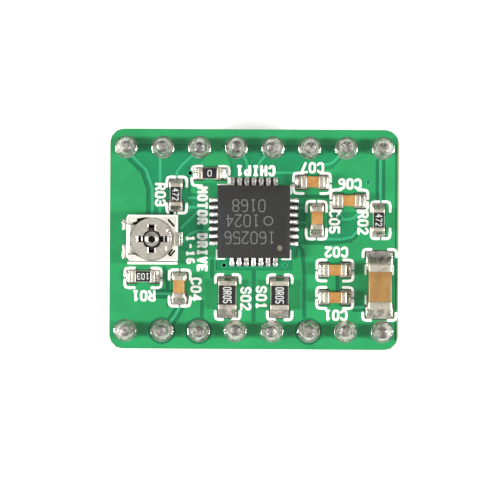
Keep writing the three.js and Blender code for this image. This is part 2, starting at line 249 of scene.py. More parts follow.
def solder_finish(name, color, roughness, wrinkles, skirt=0.0, tip=0.0):
    """Reflowed solder: bright, with frosty patches and fine wrinkles. A joint has a skirt, up to
    which it is smoother, and a tip, a height above which it is darker in patches."""
    finish = Finish(name, color, roughness, 1.0)
    frost = finish.noise(0.3, detail=5, distortion=1.0)
    wrinkle = finish.noise(0.1, detail=4, distortion=1.5)
    tone = finish.colours(frost, [(0.3, shade(color, 0.6)), (0.5, color), (0.75, shade(color, 1.35))])
    dullness = finish.between(frost, 0.35, 0.65, roughness * 0.6, roughness * 1.4)
    if skirt:
        height = finish.node("ShaderNodeSeparateXYZ", {0: finish.position}).outputs["Z"]
        low, high = (BOARD_TOP + skirt) * MM, (BOARD_TOP + skirt * 1.6) * MM
        dullness = finish.join(dullness, finish.between(height, low, high, 0.2, 1), "MULTIPLY")
        low, high = (BOARD_TOP + tip - 0.1) * MM, (BOARD_TOP + tip) * MM
        patches = finish.between(finish.noise(0.28, detail=3, distortion=1.0), 0.38, 0.58, 0.55, 1)
        tip_darkening = finish.join(finish.between(height, low, high, 0, 1), patches, "MULTIPLY")
        tone = finish.mix(tip_darkening, tone, shade(color, 0.3))
    finish.set("Base Color", tone)
    finish.set("Roughness", dullness)
    finish.bump(wrinkle, wrinkles)
    return finish.bump(finish.noise(0.03, detail=2), 0.002)


FINISHES = {
    "mask_copper": mask_finish("mask_over_copper", (0.014, 0.285, 0.090)),
    # lighter green for the tracks and via rings: painted highlight
    "mask_track": mask_finish("mask_over_track_painted_highlight", (0.028, 0.34, 0.15)),
    "mask_bare": mask_finish("mask_over_laminate", (0.004, 0.215, 0.078), weave=0.006),
    # darker green for the gaps and the slopes into bare areas: painted shade
    "mask_gap": mask_finish("mask_in_gap_painted_shade", (0.003, 0.155, 0.058), weave=0.004),
    "laminate": laminate_finish(),
    "mould": mould_finish(),
    "ink": ink_finish("white_legend_ink", (0.93, 0.95, 0.90)),
    "print": ink_finish("white_value_print", (0.62, 0.62, 0.60)),
    "laser": ink_finish("laser_marking", (0.15, 0.15, 0.142), 0.7),
    "dot": ink_finish("pin_one_dot", (0.17, 0.155, 0.115), 0.7),
    "solder": solder_finish("header_solder", (0.66, 0.625, 0.585), 0.55, 0.01, 0.09, 1.0),
    "paste": solder_finish("reflowed_paste", (0.52, 0.49, 0.43), 0.32, 0.014),
    # real solder on the driver's leads given a near-white colour: painted highlight
    "bead": solder_finish("painted_highlight_solder_beads", (0.92, 0.90, 0.87), 0.3, 0.004),
}
# Name, colour, roughness, tarnish, and for some the grain's size, depth and stretch.
METALS = {
    "cap": ("tinned_end_cap", (0.83, 0.77, 0.65), 0.36, (0.60, 0.53, 0.42)),
    "terminal": ("tinned_terminal", (0.78, 0.75, 0.66), 0.34, (0.52, 0.48, 0.41)),
    "rotor": ("nickel_rotor", (0.78, 0.72, 0.63), 0.36, (0.62, 0.57, 0.50), 0.06, 0.003),
    # a darkened nickel for the floor of the rotor's cross: painted shade
    "tarnish": ("painted_shade_nickel", (0.22, 0.17, 0.14), 0.5, (0.12, 0.09, 0.07)),
    # a paler nickel for the rotor's folds and pointer: painted highlight
    "bright": ("painted_highlight_nickel", (0.92, 0.89, 0.85), 0.24, (0.7, 0.66, 0.6), 0.08, 0.002),
    "eyelet": ("nickel_eyelet", (0.66, 0.63, 0.58), 0.22, (0.4, 0.36, 0.32), 0.08, 0.002),
    "gold": ("gold_flash", (0.83, 0.60, 0.22), 0.24, (0.62, 0.42, 0.15), 0.08, 0.003, (6, 6, 0.6)),
    "copper": ("copper_lead_frame", (0.72, 0.42, 0.28), 0.35, (0.45, 0.24, 0.15)),
}
# Name, colour, its dark and its light patches, and roughness.
CERAMICS = {
    "glaze": ("resistor_glaze", (0.009, 0.008, 0.008), (0.005, 0.005, 0.005), (0.016, 0.015, 0.014), 0.4),
    "alumina": ("fired_alumina", (0.78, 0.77, 0.73), (0.62, 0.60, 0.55), (0.86, 0.85, 0.82), 0.55),
    "tan": ("tan_capacitor_ceramic", (0.45, 0.22, 0.06), (0.33, 0.155, 0.04), (0.52, 0.30, 0.11), 0.28),
    "brown": (
        "brown_capacitor_ceramic", (0.32, 0.175, 0.055), (0.25, 0.135, 0.04), (0.38, 0.215, 0.08), 0.26
    ),
    "resin": ("trimmer_resin", (0.58, 0.56, 0.50), (0.47, 0.45, 0.40), (0.68, 0.67, 0.60), 0.42),
    # a paler copy of the trimmer resin for the faces the light catches: painted light
    "lit_resin": ("painted_light_trimmer_resin", (0.84, 0.84, 0.77), (0.74, 0.73, 0.66), (0.9, 0.9, 0.84), 0.4),
    "cermet": ("cermet_track", (0.024, 0.018, 0.014), (0.012, 0.009, 0.008), (0.04, 0.03, 0.025), 0.5),
    "silicon": ("silicon_die", (0.12, 0.13, 0.16), (0.07, 0.08, 0.10), (0.2, 0.21, 0.25), 0.18),
    "strip": ("header_plastic", (0.014, 0.014, 0.015), (0.008, 0.008, 0.009), (0.03, 0.03, 0.031), 0.42),
    # near-black put where recesses, slits and holes lie in shade: painted shadow
    "shadow": ("painted_shadow_recess", (0.012, 0.009, 0.008), (0.006, 0.005, 0.005), (0.022, 0.018, 0.016), 0.8),
    # near-black frames round pads and leads: painted shade
    "pad_shade": ("painted_pad_shade", (0.010, 0.010, 0.007), (0.005, 0.006, 0.004), (0.02, 0.02, 0.012), 0.35),
}
FINISHES.update({key: metal_finish(*looks) for key, looks in METALS.items()})
FINISHES.update({key: ceramic_finish(*looks) for key, looks in CERAMICS.items()})


# ---- Meshes ----


def polar(radius, angle):
    return radius * math.cos(angle), radius * math.sin(angle)


def add_object(name, data):
    made = bpy.data.objects.new(name, data)
    bpy.context.scene.collection.objects.link(made)
    return made


def add_piece(name, shape, *finishes, at=(0, 0, 0), turn=0.0, body="module", replaces=(), sharp=32):
    """Makes an object from a bmesh, or a list of them, in millimetres and lets it ride on a body."""
    shape = moved(gather(*shape) if isinstance(shape, list) else shape, at, turn)
    mesh = bpy.data.meshes.new(name)
    shape.transform(Matrix.Scale(MM, 4))
    shape.to_mesh(mesh)
    shape.free()
    for finish in finishes:
        mesh.materials.append(FINISHES[finish].material)
    mesh.shade_smooth()
    mesh.set_sharp_from_angle(angle=math.radians(sharp))
    made = add_object(name, mesh)
    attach(made, body)
    if replaces:
        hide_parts(*replaces)


def gather(*shapes):
    """Several bmeshes as one, each still its own solid."""
    whole = bmesh.new()
    for shape in shapes:
        spare = bpy.data.meshes.new("spare")
        shape.to_mesh(spare)
        whole.from_mesh(spare)
        bpy.data.meshes.remove(spare)
        shape.free()
    return whole


def moved(shape, at=(0, 0, 0), turn=0.0):
    shape.transform(Matrix.Translation(at) @ Matrix.Rotation(turn, 4, "Z"))
    return shape


def bevelled(shape, radius, segments):
    """Rounds every sharp edge."""
    edges = [e for e in shape.edges if e.calc_face_angle(0) > math.radians(30)]
    settings = dict(segments=segments, profile=0.5, affect="EDGES", clamp_overlap=True)
    bmesh.ops.bevel(shape, geom=edges, offset=radius, **settings)
    return shape


def block(low, high, radius=0.0, segments=2):
    shape = bmesh.new()
    bmesh.ops.create_cube(shape, size=1)
    low, high = Vector(low), Vector(high)
    size = high - low
    shape.transform(Matrix.Translation((low + high) / 2) @ Matrix.Diagonal((*size, 1)))
    return bevelled(shape, radius, segments) if radius else shape


def loft(loops, closed=False):
    """A solid through loops of points, capped at both ends or closed back on itself."""
    shape = bmesh.new()
    rings = [[shape.verts.new(point) for point in loop] for loop in loops]
    if not closed:
        shape.faces.new(reversed(rings[0]))
        shape.faces.new(rings[-1])
    for below, above in zip(rings, rings[1:] + (rings[:1] if closed else [])):
        for k in range(len(below)):
            after = (k + 1) % len(below)
            shape.faces.new((below[k], below[after], above[after], above[k]))
    bmesh.ops.recalc_face_normals(shape, faces=shape.faces)
    return shape


def prism(outline, bottom, top, radius=0.0, segments=2):
    """An outline raised from one level to another."""
    shape = loft([[(x, y, z) for x, y in outline] for z in (bottom, top)])
    return bevelled(shape, radius, segments) if radius else shape


def square_column(x, y, levels):
    """A square column from a list of (height, half width)."""
    return loft([[(*p, z) for p in rectangle(x - h, y - h, x + h, y + h)] for z, h in levels])


def lathe(profile, sides, warp=None):
    """A profile of (radius, height) turned about Z. It starts and ends on the axis. warp moves each
    point, given its place and its angle."""
    shape = bmesh.new()
    ends = [shape.verts.new((0, 0, profile[k][1])) for k in (0, -1)]
    rings = []
    for radius, height in profile[1:-1]:
        ring = []
        for side in range(sides):
            angle = 2 * math.pi * side / sides
            point = Vector((*polar(radius, angle), height))
            ring.append(shape.verts.new(warp(point, angle) if warp else point))
        rings.append(ring)
    for side in range(sides):
        after = (side + 1) % sides
        shape.faces.new((ends[0], rings[0][after], rings[0][side]))
        shape.faces.new((ends[1], rings[-1][side], rings[-1][after]))
        for below, above in zip(rings, rings[1:]):
            shape.faces.new((below[side], below[after], above[after], above[side]))
    bmesh.ops.recalc_face_normals(shape, faces=shape.faces)
    return shape


def cylinder(radius, bottom, top, sides=32):
    return lathe([(0, bottom), (radius, bottom), (radius, top), (0, top)], sides)


def carved(target, *cutters):
    """Cuts the cutters out of a bmesh."""
    objects = []
    for shape in (target, *cutters):
        mesh = bpy.data.meshes.new("carving")
        shape.to_mesh(mesh)
        shape.free()
        objects.append(add_object("carving", mesh))
    for cutter in objects[1:]:
        step = objects[0].modifiers.new("cut", "BOOLEAN")
        step.object = cutter
        step.operation = "DIFFERENCE"
        step.solver = "EXACT"
    result = bmesh.new()
    evaluated = objects[0].evaluated_get(bpy.context.evaluated_depsgraph_get())
    result.from_mesh(evaluated.to_mesh())
    evaluated.to_mesh_clear()
    for made in objects:
        mesh = made.data
        bpy.data.objects.remove(made)
        bpy.data.meshes.remove(mesh)
    return result


# ---- Flat artwork ----

CORNER_LIMIT = math.radians(50)  # a line keeps the corners that turn by more than this
SAME_POINT = 1e-5  # corners of outlines that are nearer to each other than this are one


def circle(x, y, radius, sides=24):
    points = (polar(radius, 2 * math.pi * k / sides) for k in range(sides))
    return [(x + u, y + v) for u, v in points]


def rectangle(x0, y0, x1, y1):
    return [(x0, y0), (x1, y0), (x1, y1), (x0, y1)]


def smoothed(points):
    """A line with each gentle corner cut off and each sharp one kept."""
    points = [Vector(p) for p in points]
    line = [points[0]]
    for before, here, after in zip(points, points[1:], points[2:]):
        if abs((here - before).angle_signed(after - here, 0.0)) > CORNER_LIMIT:
            line.append(here)
        else:
            line += [here.lerp(before, 0.3), here.lerp(after, 0.3)]
    return [*line, points[-1]]


def stroke(points, width, cap_steps=4):
    """Outlines of a line of some width, one with round ends for each straight part."""
    outlines = []
    line = smoothed(points)
    for a, b in zip(line, line[1:]):
        across = math.atan2(b.y - a.y, b.x - a.x) - math.pi / 2
        outline = []
        for centre, start in ((b, across), (a, across + math.pi)):
            for k in range(cap_steps + 1):
                x, y = polar(width / 2, start + math.pi * k / cap_steps)
                outline.append((centre.x + x, centre.y + y))
        outlines.append(outline)
    return outlines


def arrange(outlines):
    """Cuts the plane along closed outlines. Returns points, triangles, and for each triangle the
    numbers of the outlines that cover it."""
    points = []
    loops = []
    for outline in outlines:
        area = sum(a[0] * b[1] - b[0] * a[1] for a, b in zip(outline, outline[1:] + outline[:1]))
        ordered = outline if area > 0 else outline[::-1]
        loops.append(list(range(len(points), len(points) + len(ordered))))
        points += [Vector(p) for p in ordered]
    points, _, faces, _, _, covers = delaunay_2d_cdt(points, [], loops, 1, SAME_POINT)
    return points, faces, covers


HOLE = "hole"
CREASE = "crease"


def relief(layers, bottom):
    """A solid whose top steps from layer to layer. Each layer is (outlines, level, finish number),
    and covers the ones before it. Where two layers meet, their shared corners take the higher
    level, so the lower layer slopes up to the higher one. A crease only cuts the surface, to say
    where such a slope starts."""
    outlines = []
    owners = []
    for number, (loops, _, _) in enumerate(layers):
        outlines += loops
        owners += [number] * len(loops)
    points, faces, covers = arrange(outlines)
    levels = {}
    kept = []
    for face, cover in zip(faces, covers):
        found = [owners[k] for k in cover if layers[owners[k]][1] != CREASE]
        if not found or layers[max(found)][1] == HOLE:
            continue
        _, level, finish = layers[max(found)]
        kept.append((face, finish))
        for corner in face:
            levels[corner] = max(levels.get(corner, level), level)

    shape = bmesh.new()
    upper = {k: shape.verts.new((*points[k], level)) for k, level in levels.items()}
    lower = {k: shape.verts.new((*points[k], bottom)) for k in levels}
    edges = {}
    for (a, b, c), finish in kept:
        shape.faces.new((upper[a], upper[b], upper[c])).material_index = finish
        shape.faces.new((lower[c], lower[b], lower[a])).material_index = finish
        edges.update({(a, b): finish, (b, c): finish, (c, a): finish})
    for (a, b), finish in edges.items():
        if (b, a) not in edges:
            wall = shape.faces.new((upper[b], upper[a], lower[a], lower[b]))
            wall.material_index = finish
    return shape


def flat_art(outlines, bottom, top, holes=()):
    """The union of some outlines, less the holes, as one flat solid."""
    return relief([(outlines, top, 0), (holes, HOLE, 0)], bottom)


# Letters as pen strokes on a grid four wide and six high. Each pair is a point's column and row,
# and a bar lifts the pen.
FONT = {
    "0": "01 05 16 36 45 41 30 10 01",
    "1": "15 26 20|10 30",
    "2": "05 16 36 45 44 00 40",
    "3": "05 16 36 45 44 33 13|33 42 41 30 10 01",
    "4": "30 36 02 42",
    "5": "46 06 03 33 42 41 30 10 01",
    "6": "36 16 05 01 10 30 41 42 33 13 02",
    "7": "06 46 10",
    "8": "13 04 05 16 36 45 44 33 13 02 01 10 30 41 42 33",
    "C": "45 36 16 05 01 10 30 41",
    "H": "00 06|40 46|03 43",
    "P": "00 06 36 45 44 33 03",
    "D": "00 06 26 44 42 20 00",
    "E": "46 06 00 40|03 33",
    "I": "16 36|26 20|10 30",
    "M": "00 06 23 46 40",
    "O": "01 05 16 36 45 41 30 10 01",
    "R": "00 06 36 45 44 33 03|23 40",
    "S": "45 36 16 05 04 13 33 42 41 30 10 01",
    "T": "06 46|26 20",
    "V": "06 20 46",
    "-": "13 33",
}


def lettering(text, x, y, height, pen, turn, pitch, squeeze=1.0):
    """Outlines of a line of text centred at a point and turned by degrees."""
    unit = height / 6
    angle = math.radians(turn)
    cos, sin = math.cos(angle), math.sin(angle)
    outlines = []
    for number, letter in enumerate(text):
        if letter == " ":
            continue
        start = (number - (len(text) - 1) / 2) * pitch
        for line in FONT[letter].split("|"):
            pen_path = []
            for place in line.split():
                u = start + (int(place[0]) - 2) * unit * squeeze
                v = (int(place[1]) - 3) * unit
                pen_path.append((x + u * cos - v * sin, y + u * sin + v * cos))
            outlines += stroke(pen_path, pen)
    return outlines


# ---- Board ----


def board_outline(inset=0.0):
    outline = []
    steps = 8
    for k, (sx, sy) in enumerate(((1, 1), (-1, 1), (-1, -1), (1, -1))):
        cx = sx * (HALF_LENGTH - CORNER_RADIUS)
        cy = sy * (HALF_WIDTH - CORNER_RADIUS)
        for step in range(steps + 1):
            x, y = polar(CORNER_RADIUS - inset, math.pi / 2 * (k + step / steps))
            outline.append((cx + x, cy + y))
    return outline


JOINTS = {f"{row}{i}": cad_middle(f"header_pin_{row}{i}") for row in "ab" for i in range(1, 9)}
DRIVER_LOW, DRIVER_HIGH = cad_box("driver_body")
DRIVER_X, DRIVER_Y = ((DRIVER_LOW + DRIVER_HIGH) / 2).xy
TRIMMER = cad_middle("trimmer_eyelet")

# Areas of the top side with no copper, tracks in them, and gaps cut through the copper.
BARE_AREAS = [
    [(-8.5, 6.5), (-3.5, 6.5), (-3.2, 5.9), (-4.2, 4.9), (-4.5, 4.4), (-4.5, 3.2), (-3.6, 2.9),
     (-3.6, 0.2), (-4.7, -0.8), (-5.2, -0.6), (-5.2, 1.6), (-7.0, 1.6), (-7.35, 1.6), (-7.35, 4.3),
     (-8.9, 5.8)],
    [(-2.2, 6.5), (6.2, 6.5), (5.95, 5.6), (5.35, 4.95), (4.9, 4.9), (3.2, 4.4), (2.7, 4.0),
     (-1.6, 4.0), (-1.6, 5.2)],
    [(2.6, 3.1), (3.5, 3.1), (3.5, 0.0), (3.0, -0.3), (2.9, -1.3), (2.6, -1.3)],
    [(5.1, 1.9), (7.3, 1.9), (7.3, 0.6), (6.85, -0.1), (4.9, -0.1), (5.1, 0.4)],
    [(-2.6, -1.45), (2.6, -1.45), (2.6, -2.1), (-2.6, -2.1)],
]
TRACK_WIDTH = 0.2
TRACKS = [
    [(-8.5, 5.75), (-7.05, 4.35), (-7.05, 1.5)], [(-6.53, 5.6), (-6.53, 1.7)],
    [(-4.35, 5.75), (-5.37, 4.8), (-5.37, 4.3)], [(-0.75, 5.75), (-0.5, 5.3), (-0.5, 4.9)],
    [(0.8, 5.85), (0.25, 5.25), (0.25, 4.9)], [(1.3, 4.62), (2.9, 4.62)],
    [(5.8, 5.75), (5.3, 5.22), (4.6, 5.22)], [(6.1, 1.42), (6.75, 1.42), (7.2, 1.8)],
    [(4.8, 0.05), (6.6, 0.05), (7.1, 0.55)], [(-4.6, 2.2), (-3.0, 2.2)],
    [(-4.6, 2.85), (-3.0, 2.85)], [(-5.1, 0.75), (-3.7, 2.1)],
    [(-5.0, -0.2), (-4.2, 0.6), (-3.0, 0.6)], [(2.8, 2.2), (3.6, 2.2)], [(2.8, 1.2), (3.6, 1.2)],
]
# Tracks through the copper, with a gap along both sides.
FENCED_TRACKS = [
    [(8.72, 5.5), (8.72, 2.6)], [(-6.7, -3.8), (-5.7, -3.8)],
    [(-5.14, -4.7), (-5.3, -5.1), (-5.75, -5.75)], [(6.95, -4.65), (7.6, -4.65)],
]
GAP_WIDTH = 0.2
GAPS = [
    [(-8.8, 5.65), (-7.34, 4.24), (-7.34, 1.6)], [(2.95, -0.3), (3.5, -0.95), (3.5, -5.3)],
    [(3.2, -0.2), (6.6, -0.2), (7.1, 0.35)], [(0.0, -2.1), (0.0, -5.6)],
    [(-3.58, -4.3), (-3.58, -5.5)], [(5.8, -2.4), (5.8, -3.7)], [(3.0, 3.0), (5.1, 3.0)],
    [(-6.2, -2.0), (-5.9, -3.2), (-5.9, -4.6)], [(-2.9, -1.5), (-2.9, -2.6)],
]
EDGE_GAP = [(9.8, -6.9), (9.8, 6.6)]  # a fine line along one end of the board
EDGE_GAP_WIDTH = 0.05
RINGED_JOINTS = ["b2", "b3", "b6"]  # joints with a gap around their pad
RING_WIDTH = 0.1
OPEN_VIAS = [(-2.08, -1.8), (-4.45, 4.56), (-5.72, 1.8)]
FILLED_VIAS = [(2.13, -1.78), (7.88, 4.02), (5.92, 1.55)]
VIAS = OPEN_VIAS + FILLED_VIAS
VIA_BORE = 0.13
DRILL = 0.14  # radius of the holes in the laminate, a little wider than the bore
PAD_RADIUS = 0.8


def closed_line(outline):
    return [*outline, outline[0]]


def ring_line(x, y, radius, sides=24):
    return closed_line(circle(x, y, radius, sides))


def side_walls(outline, width):
    """Strokes along each straight side of an outline."""
    loop = closed_line(outline)
    return strokes((pair, width) for pair in zip(loop, loop[1:]))


def strokes(lines):
    """The outlines of several (line, width)."""
    return [outline for line, width in lines for outline in stroke(line, width, 3)]


def mask_side(name, bare_areas, gaps, tracks, height, side):
    """The solder mask on one side of the board: a coat that drops where there is no copper. The
    gaps and the slopes down to bare areas take a darker green, painted shade, and the tracks a
    lighter one, painted highlight. The gaps and tracks are (line, width), and side is 1 for the
    top and -1 for the underside."""
    walls = [wall for area in bare_areas for wall in side_walls(area, 2 * MASK_SLOPE)]
    # Finish 3 paints shade into the gaps and the slopes down to bare areas, and finish 1 paints highlight
    # on the tracks.
    layers = [
        ([[(min(x, HALF_LENGTH - EDGE_SHOWN), y) for x, y in board_outline(0.02)]], 0, 0),
        (walls, -COPPER_RELIEF, 3),
        (strokes((line, width + 2 * MASK_SLOPE) for line, width in gaps), -COPPER_RELIEF, 3),
        (bare_areas, -COPPER_RELIEF, 2),
        (strokes(gaps), -COPPER_RELIEF, 3),
        (strokes((line, width + 2 * MASK_SLOPE) for line, width in tracks), CREASE, 0),
        (strokes(tracks), 0, 1),
        ([circle(x, y, VIA_BORE, 12) for x, y in VIAS], HOLE, 0),
    ]
    shape = relief(layers, -0.06)
    if side < 0:
        shape.transform(Matrix.Scale(-1, 4, (0, 0, 1)))
        bmesh.ops.reverse_faces(shape, faces=shape.faces)
    finishes = ("mask_copper", "mask_track", "mask_bare", "mask_gap")
    add_piece(name, shape, *finishes, at=(0, 0, height), sharp=20)


def make_board():
    margin = 0.05
    core = prism(board_outline(), BOARD_BOTTOM + margin, BOARD_TOP - margin, 0.02, 1)
    holes = [moved(cylinder(DRILL, 0, 20, 12), (x, y, 0)) for x, y in VIAS]
    add_piece("board_laminate", carved(core, *holes), "laminate", replaces=["circuit_board"])

    gaps = [(line, GAP_WIDTH) for line in GAPS]
    gaps += [(line, TRACK_WIDTH + 2 * GAP_WIDTH) for line in FENCED_TRACKS]
    gaps.append((EDGE_GAP, EDGE_GAP_WIDTH))
    for joint in RINGED_JOINTS:
        x, y = JOINTS[joint].xy
        gaps.append((ring_line(x, y, PAD_RADIUS + RING_WIDTH / 2), RING_WIDTH))
    tracks = [(line, TRACK_WIDTH) for line in TRACKS + FENCED_TRACKS]
    mask_side("solder_mask_top", BARE_AREAS, gaps, tracks, BOARD_TOP, 1)
    make_underside()
    make_vias()


def make_underside():
    """The side between the header strips: a ground pour, heat vias under the driver and tracks."""
    reach = JOINTS["a1"].y - 1.0
    bare = [rectangle(-9.2, -reach, -6.4, -2.6), rectangle(4.6, 1.4, 9.0, reach)]
    lines = []
    for k in range(5):
        start = JOINTS[f"a{k + 2}"].x
        lines.append([(start, reach + 0.6), (start, 4.6 - 0.35 * k), (start + 1.0, 3.6 - 0.35 * k)])
    for k in range(4):
        start = JOINTS[f"b{k + 2}"].x
        lines.append([(start, -reach - 0.6), (start, -4.4 + 0.3 * k), (start + 0.8, -3.6 + 0.3 * k)])
    gaps = [(line, TRACK_WIDTH + 2 * GAP_WIDTH) for line in lines]
    tracks = [(line, TRACK_WIDTH) for line in lines]
    mask_side("solder_mask_bottom", bare, gaps, tracks, BOARD_BOTTOM, -1)
    text = lettering("MOTOR DRIVER", 0, -2.75, 0.95, 0.17, 0, 0.82)
    text += lettering("16", -8.2, 3.6, 0.95, 0.17, 0, 0.82)
    text += stroke([(-6.4, -1.9), (6.4, -1.9)], 0.14)
    turned_over = [[(-x, y) for x, y in outline] for outline in text]
    art = flat_art(turned_over, BOARD_BOTTOM - 0.015, BOARD_BOTTOM + 0.05)
    add_piece("legend_bottom", art, "ink")
    spacing = 0.62
    buttons = []
    for column in range(5):
        for row in range(4):
            x, y = DRIVER_X + (column - 2) * spacing, DRIVER_Y + (row - 1.5) * spacing
            buttons.append(moved(cylinder(0.2, -0.02, 0.03, 16), (x, y, BOARD_BOTTOM)))
    add_piece("heat_vias", buttons, "paste")


def make_vias():
    """Plated rings around all the vias, in the lighter track green that is painted highlight, with a
    dark floor of painted shadow deep in the open ones and mask in the filled ones."""
    inside = VIA_BORE + 0.005
    floor = [(0, 0.1), (inside, 0.1), (inside, 0.3), (0, 0.28)]
    plugs = [moved(lathe(floor, 12), (x, y, BOARD_BOTTOM)) for x, y in OPEN_VIAS]
    add_piece("via_painted_shadow_floors", plugs, "shadow")
    dimple = [(0, -1.5), (inside, -1.5), (inside, -0.03), (0.06, -0.05), (0, -0.055)]
    plugs = [moved(lathe(dimple, 12), (x, y, BOARD_TOP)) for x, y in FILLED_VIAS]
    add_piece("via_fillings", plugs, "mask_bare")
    section = [(VIA_BORE, -0.06), (0.21, -0.06), (0.21, 0.0), (0.17, 0.012), (VIA_BORE, 0.0)]
    loops = [[(*point, z) for point in circle(0, 0, radius, 16)] for radius, z in section]
    rings = [moved(loft(loops, closed=True), (x, y, BOARD_TOP)) for x, y in VIAS]
    add_piece("via_rings", rings, "mask_track")


# ---- Legend ----

LEGEND_PEN = 0.19
BRACKET_GAPS = {"sense": (2.0, 0.7), "bulk": (3.9, 1.2)}  # in the long sides and in the ends

# How far each chip sits off the middle of its footprint, and its footprint's length and width.
FOOTPRINTS = {
    "resistor_r1": ((0.02, 0.11), 2.72, 1.55),
    "resistor_r2": ((-0.15, 0.0), 2.75, 1.5),
    "resistor_r3": ((-0.07, 0.04), 2.7, 1.57),
    "zero_ohm_link": ((-0.06, 0.18), 2.77, 1.52),
    "sense_resistor_s1": ((-0.02, 0.14), 3.3, 1.9),
    "sense_resistor_s2": ((-0.03, 0.14), 3.3, 1.9),
    "capacitor_c1": ((0.0, 0.04), 2.7, 1.65),
    "capacitor_c2": ((-0.02, 0.03), 2.7, 1.65),
    "bulk_capacitor_c3": ((-0.02, -0.12), 5.1, 2.5),
    "capacitor_c4": ((-0.04, 0.1), 2.7, 1.65),
    "capacitor_c5": ((0.03, 0.15), 2.8, 1.6),
    "capacitor_c6": ((-0.04, -0.03), 2.75, 1.65),
    "capacitor_c7": ((0.04, 0.08), 2.75, 1.6),
}


def footprint(node):
    """The middle, half length, half width and direction of a chip's footprint."""
    low, high = cad_box(node)
    (dx, dy), length, width = FOOTPRINTS[node]
    middle = (low + high) / 2
    along_y = (high - low).y > (high - low).x
    return middle.x - dx, middle.y - dy, length / 2, width / 2, along_y


def bracket(node, middle_gap, end_gap):
    """Four rounded corners around a footprint."""
    cx, cy, half_length, half_width, along_y = footprint(node)
    half_length -= LEGEND_PEN / 2
    half_width -= LEGEND_PEN / 2
    radius = 0.14
    outlines = []
    for sx in (-1, 1):
        for sy in (-1, 1):
            line = [(middle_gap / 2, half_width), (half_length - radius, half_width),
                    (half_length, half_width - radius), (half_length, end_gap / 2)]
            line = [(sx * u, sy * v) for u, v in line]
            if along_y:
                line = [(v, u) for u, v in line]
            outlines += stroke([(cx + u, cy + v) for u, v in line], LEGEND_PEN)
    return outlines


# Text, centre, turn in degrees.
DESIGNATORS = [
    ("R01", -7.62, -3.95, 180), ("C02", 5.7, -0.85, 180), ("C01", 5.68, -5.22, 180),
    ("C06", 6.6, 3.87, 180), ("C07", 4.0, 4.98, 180), ("R03", -6.5, 3.05, -90),
    ("C04", -4.0, -3.48, -90), ("S02", -0.55, -4.1, -90), ("S01", 0.53, -4.03, -90),
    ("C05", 5.55, 1.25, -90), ("R02", 7.53, 1.18, -90),
]


def make_legend():
    outlines = []
    for node in FOOTPRINTS:
        outlines += bracket(node, *BRACKET_GAPS.get(node.split("_")[0], (1.2, 0.26)))
    for text, x, y, turn in DESIGNATORS:
        outlines += lettering(text, x, y, 0.62, 0.17, turn, 0.56, 0.85)
    outlines += lettering("CHIP1", 0.08, 4.75, 0.58, 0.2, 180, 0.56, 0.8)
    outlines += lettering("MOTOR DRIVE", -3.58, 0.7, 0.56, 0.2, -90, 0.54, 0.8)
    outlines += lettering("1-16", -4.4, -0.75, 0.46, 0.17, -90, 0.52, 0.85)
    x0, x1 = DRIVER_LOW.x - 0.06, DRIVER_HIGH.x + 0.06
    y0, y1 = DRIVER_LOW.y - 0.08, DRIVER_HIGH.y + 0.06
    for line in (
        [(x0, y0 + 0.62), (x0, y0), (x0 + 0.55, y0)],
        [(x1, y0 + 0.62), (x1, y0), (x1 - 0.6, y0)],
        [(x0 + 0.05, y1), (x0 + 0.6, y1)],
        [(x1, y1), (x1, y1 - 0.6)],
    ):
        outlines += stroke(line, 0.1)
    low, high = cad_box("bulk_capacitor_c3")
    for x in (low.x - 0.16, high.x + 0.14):
        outlines += stroke([(x, high.y - 0.15), (x, high.y - 0.75)], 0.11)
    outlines += stroke([(low.x - 0.14, low.y + 0.95), (low.x - 0.14, low.y + 0.4)], 0.11)
    holes = [circle(x, y, 0.2, 16) for x, y in VIAS]
    shape = flat_art(outlines, BOARD_TOP - 0.05, BOARD_TOP + INK_RELIEF, holes)
    add_piece("legend_top", shape, "ink", sharp=40)


# ---- Chips ----

VALUE_CODES = {
    "resistor_r1": "103",
    "resistor_r2": "472",
    "resistor_r3": "472",
    "zero_ohm_link": "0",
    "sense_resistor_s1": "0R05",
    "sense_resistor_s2": "0R05",
}
PAD_THICKNESS = 0.04


def fillet(width, reach, height, seed, lumps=0.03, hollow=2.2, crown=5):
    """Solder that runs from a chip's end down to the edge of its pad. It faces +X. A larger hollow
    makes it more concave, and a smaller crown rounds it off more from side to side."""
    shape = bmesh.new()
    across, along = 14, 9
    rows = []
    for i in range(across + 1):
        v = -1 + 2 * i / across
        side = max(0.0, 1 - abs(v) ** crown)
        row = []
        for j in range(along + 1):
            u = j / along
            curve = (1 - u) ** hollow
            level = PAD_THICKNESS + (height - PAD_THICKNESS) * curve * (0.3 + 0.7 * side)
            x = reach * u * (1 - 0.12 * abs(v) ** 4)
            y = v * width / 2
            level += noise.noise(Vector((x, y, seed)) / 0.16) * lumps * (1 - abs(2 * u - 1) ** 3)
            row.append(shape.verts.new((x, y, max(level, 0.012))))
        rows.append(row)
    for i in range(across):
        for j in range(along):
            shape.faces.new((rows[i][j], rows[i + 1][j], rows[i + 1][j + 1], rows[i][j + 1]))
    rim = [row[0] for row in rows] + rows[-1][1:] + [row[-1] for row in rows[-2::-1]] + rows[0][-2:0:-1]
    floor = [shape.verts.new((*vert.co.xy, 0)) for vert in rim]
    for k in range(len(rim)):
        after = (k + 1) % len(rim)
        shape.faces.new((rim[k], rim[after], floor[after], floor[k]))
    shape.faces.new(floor)
    bmesh.ops.recalc_face_normals(shape, faces=shape.faces)
    return shape


def chip_frame(node):
    """A chip's middle on the board, and its turn, length, width and height."""
    low, high = cad_box(node)
    size = high - low
    middle = (low + high) / 2
    along_y = size.y > size.x
    length, width = max(size.x, size.y), min(size.x, size.y)
    return (middle.x, middle.y, low.z), math.pi / 2 if along_y else 0.0, length, width, size.z


